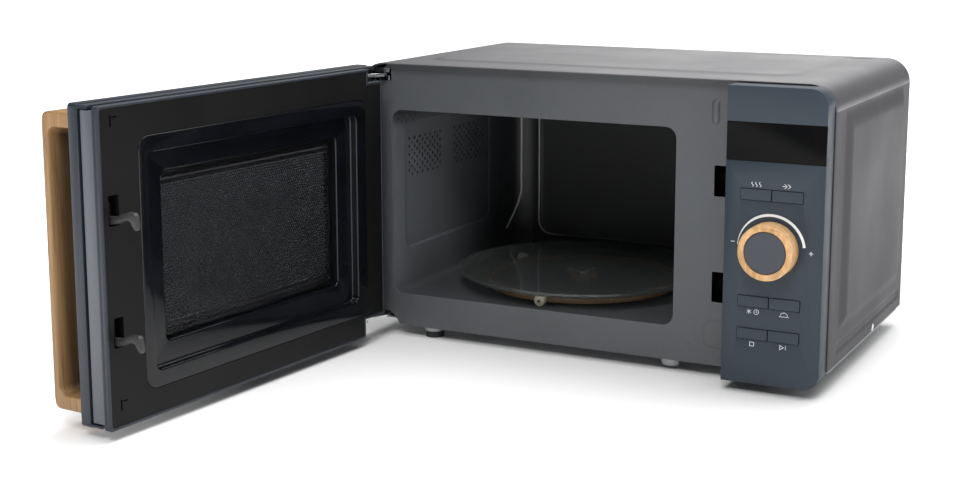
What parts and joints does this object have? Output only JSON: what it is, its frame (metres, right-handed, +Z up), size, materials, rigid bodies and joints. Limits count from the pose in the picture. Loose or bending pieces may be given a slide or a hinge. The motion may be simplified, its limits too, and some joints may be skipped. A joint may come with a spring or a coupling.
{
  "type": "microwave oven",
  "caption": "Countertop microwave oven with side-hinged door, wood-look handle and dial, push buttons and glass turntable.",
  "frame": {"origin": "on the floor at the centre of the four rubber feet", "axes": "+X to the right seen from the front, +Y to the back, +Z up"},
  "size_m": [0.5076, 0.6347, 0.257],
  "materials": {
    "cabinet_paint": "warm dark grey satin paint",
    "galvanised": "zinc-coated steel",
    "cavity_enamel": "charcoal satin coating with fine speckle",
    "foot_rubber": "matt",
    "black_plastic": "satin black moulding",
    "screw_steel": "bright zinc",
    "hinge_chrome": "bright plated steel",
    "slate_plastic": "slate blue satin moulding",
    "door_glass": "dark glossy front sheet",
    "grey_trim": "light grey satin strip",
    "black_enamel": "black enamel",
    "gloss_black": "glossy black moulding",
    "screen_metal": "perforated black enamelled steel",
    "clear_film": "clear film",
    "latch_plastic": "dark grey moulding",
    "oak": "light oak grain",
    "display_gloss": "glossy black window",
    "knob_grey": "slate grey satin cap",
    "circuit_board": "green laminate",
    "white_plastic": "white moulding",
    "amber_plastic": "amber heat-resistant moulding",
    "tray_glass": "clear tempered glass",
    "mica": "mica sheet",
    "aluminium_fins": "bare",
    "core_steel": "laminated, varnished",
    "copper": "enamelled winding",
    "lamp_glass": "lamp holder",
    "red_plastic": "switch plunger",
    "wheel_plastic": "roller"
  },
  "bodies": {
    "cabinet": {"base_plate": "galvanised", "board_switches": "black_plastic", "cabinet_screws": "screw_steel", "cavity_lamp": "lamp_glass", "cavity_shell": "cavity_enamel", "control_board": "circuit_board", "control_panel": "slate_plastic", "cord_bushing": "black_plastic", "display_module": "display_gloss", "display_window": "display_gloss", "fan_motor": "core_steel", "fan_shroud": "white_plastic", "feet": "foot_rubber", "filter_board": "circuit_board", "front_plate": "cavity_enamel", "hinge_arms": "hinge_chrome", "hinge_pins": "hinge_chrome", "hv_capacitor": "aluminium_fins", "interlock_bracket": "black_plastic", "interlock_switches": "black_plastic", "magnetron": "aluminium_fins", "outer_cabinet": "cabinet_paint", "rear_panel": "galvanised", "rear_spacers": "black_plastic", "transformer_coils": "copper", "transformer_core": "core_steel", "turntable_motor": "galvanised", "waveguide": "galvanised", "waveguide_cover": "mica"},
    "door": {"door_frame": "slate_plastic", "door_glass": "door_glass", "door_edge_trim": "grey_trim", "door_inner_frame": "black_plastic", "door_metal_frame": "black_enamel", "choke_cover": "gloss_black", "door_screen": "screen_metal", "door_inner_film": "clear_film", "door_handle": "oak", "handle_screws": "screw_steel", "latch_spring": "screw_steel"},
    "latch": {"door_latch": "latch_plastic"},
    "knob": {"knob_ring": "oak", "knob_cap": "knob_grey", "knob_hub": "black_plastic", "encoder_shaft": "screw_steel"},
    "drive": {"drive_coupler": "amber_plastic"},
    "tray": {"glass_tray": "tray_glass"},
    "ring": {"roller_ring": "amber_plastic"},
    "fan": {"fan_rotor": "white_plastic"},
    "button_auto_cook_body": {"button_auto_cook": "slate_plastic"},
    "button_defrost_clock_body": {"button_defrost_clock": "slate_plastic"},
    "button_express_body": {"button_express": "slate_plastic"},
    "button_power_body": {"button_power": "slate_plastic"},
    "button_start_body": {"button_start": "slate_plastic"},
    "button_stop_body": {"button_stop": "slate_plastic"},
    "roller_wheel_1_body": {"roller_wheel_1": "wheel_plastic"},
    "roller_wheel_2_body": {"roller_wheel_2": "wheel_plastic"},
    "roller_wheel_3_body": {"roller_wheel_3": "wheel_plastic"},
    "switch_plunger_lower_body": {"switch_plunger_lower": "red_plastic"},
    "switch_plunger_upper_body": {"switch_plunger_upper": "red_plastic"}
  },
  "joints": [
    {"name": "door_hinge", "type": "hinge", "parent": "cabinet", "child": "door", "pos_m": [-0.212, -0.142, 0.1314], "axis": [0, 0, 1], "range_deg": [-10, 95]},
    {"name": "latch_lift", "type": "slide", "parent": "door", "child": "latch", "axis": [0, 0, 1], "range_m": [0, 0.005], "stiffness_N_per_m": 300, "springref_m": -0.003, "deforming": ["latch_spring"]},
    {"name": "knob_turn", "type": "hinge", "parent": "cabinet", "child": "knob", "pos_m": [0.1768, -0.1516, 0.123], "axis": [0, -1, 0], "continuous": true},
    {"name": "turntable_spin", "type": "hinge", "parent": "cabinet", "child": "drive", "pos_m": [-0.056, 0.0035, 0.04], "axis": [0, 0, 1], "continuous": true},
    {"name": "tray_lift", "type": "slide", "parent": "drive", "child": "tray", "axis": [0, 0, 1], "range_m": [0, 0.03]},
    {"name": "roller_ring_spin", "type": "hinge", "parent": "cabinet", "child": "ring", "pos_m": [-0.056, 0.0035, 0.0424], "axis": [0, 0, 1], "continuous": true},
    {"name": "fan_spin", "type": "hinge", "parent": "cabinet", "child": "fan", "pos_m": [0.158, 0.096, 0.178], "axis": [0, 1, 0], "continuous": true},
    {"name": "button_auto_cook_press", "type": "slide", "parent": "cabinet", "child": "button_auto_cook_body", "axis": [0, 1, 0], "range_m": [0, 0.001], "stiffness_N_per_m": 1200},
    {"name": "button_defrost_clock_press", "type": "slide", "parent": "cabinet", "child": "button_defrost_clock_body", "axis": [0, 1, 0], "range_m": [0, 0.001], "stiffness_N_per_m": 1200},
    {"name": "button_express_press", "type": "slide", "parent": "cabinet", "child": "button_express_body", "axis": [0, 1, 0], "range_m": [0, 0.001], "stiffness_N_per_m": 1200},
    {"name": "button_power_press", "type": "slide", "parent": "cabinet", "child": "button_power_body", "axis": [0, 1, 0], "range_m": [0, 0.001], "stiffness_N_per_m": 1200},
    {"name": "button_start_press", "type": "slide", "parent": "cabinet", "child": "button_start_body", "axis": [0, 1, 0], "range_m": [0, 0.001], "stiffness_N_per_m": 1200},
    {"name": "button_stop_press", "type": "slide", "parent": "cabinet", "child": "button_stop_body", "axis": [0, 1, 0], "range_m": [0, 0.001], "stiffness_N_per_m": 1200},
    {"name": "switch_plunger_lower_press", "type": "slide", "parent": "cabinet", "child": "switch_plunger_lower_body", "axis": [0, 1, 0], "range_m": [0, 0.001], "stiffness_N_per_m": 500},
    {"name": "switch_plunger_upper_press", "type": "slide", "parent": "cabinet", "child": "switch_plunger_upper_body", "axis": [0, 1, 0], "range_m": [0, 0.001], "stiffness_N_per_m": 500},
    {"name": "roller_wheel_1_spin", "type": "hinge", "parent": "ring", "child": "roller_wheel_1_body", "pos_m": [-0.05427, -0.09549, 0.04305], "axis": [0.0175, -0.9998, 0], "continuous": true},
    {"name": "roller_wheel_2_spin", "type": "hinge", "parent": "ring", "child": "roller_wheel_2_body", "pos_m": [0.02886, 0.05449, 0.04305], "axis": [0.8572, 0.515, 0], "continuous": true},
    {"name": "roller_wheel_3_spin", "type": "hinge", "parent": "ring", "child": "roller_wheel_3_body", "pos_m": [-0.14259, 0.0515, 0.04305], "axis": [-0.8746, 0.4848, 0], "continuous": true}
  ],
  "couplings": [
    {"joint": "roller_ring_spin", "follows": "turntable_spin", "ratio": 0.5},
    {"joint": "roller_wheel_1_spin", "follows": "turntable_spin", "ratio": -10.102},
    {"joint": "roller_wheel_2_spin", "follows": "turntable_spin", "ratio": -10.102},
    {"joint": "roller_wheel_3_spin", "follows": "turntable_spin", "ratio": -10.102}
  ]
}
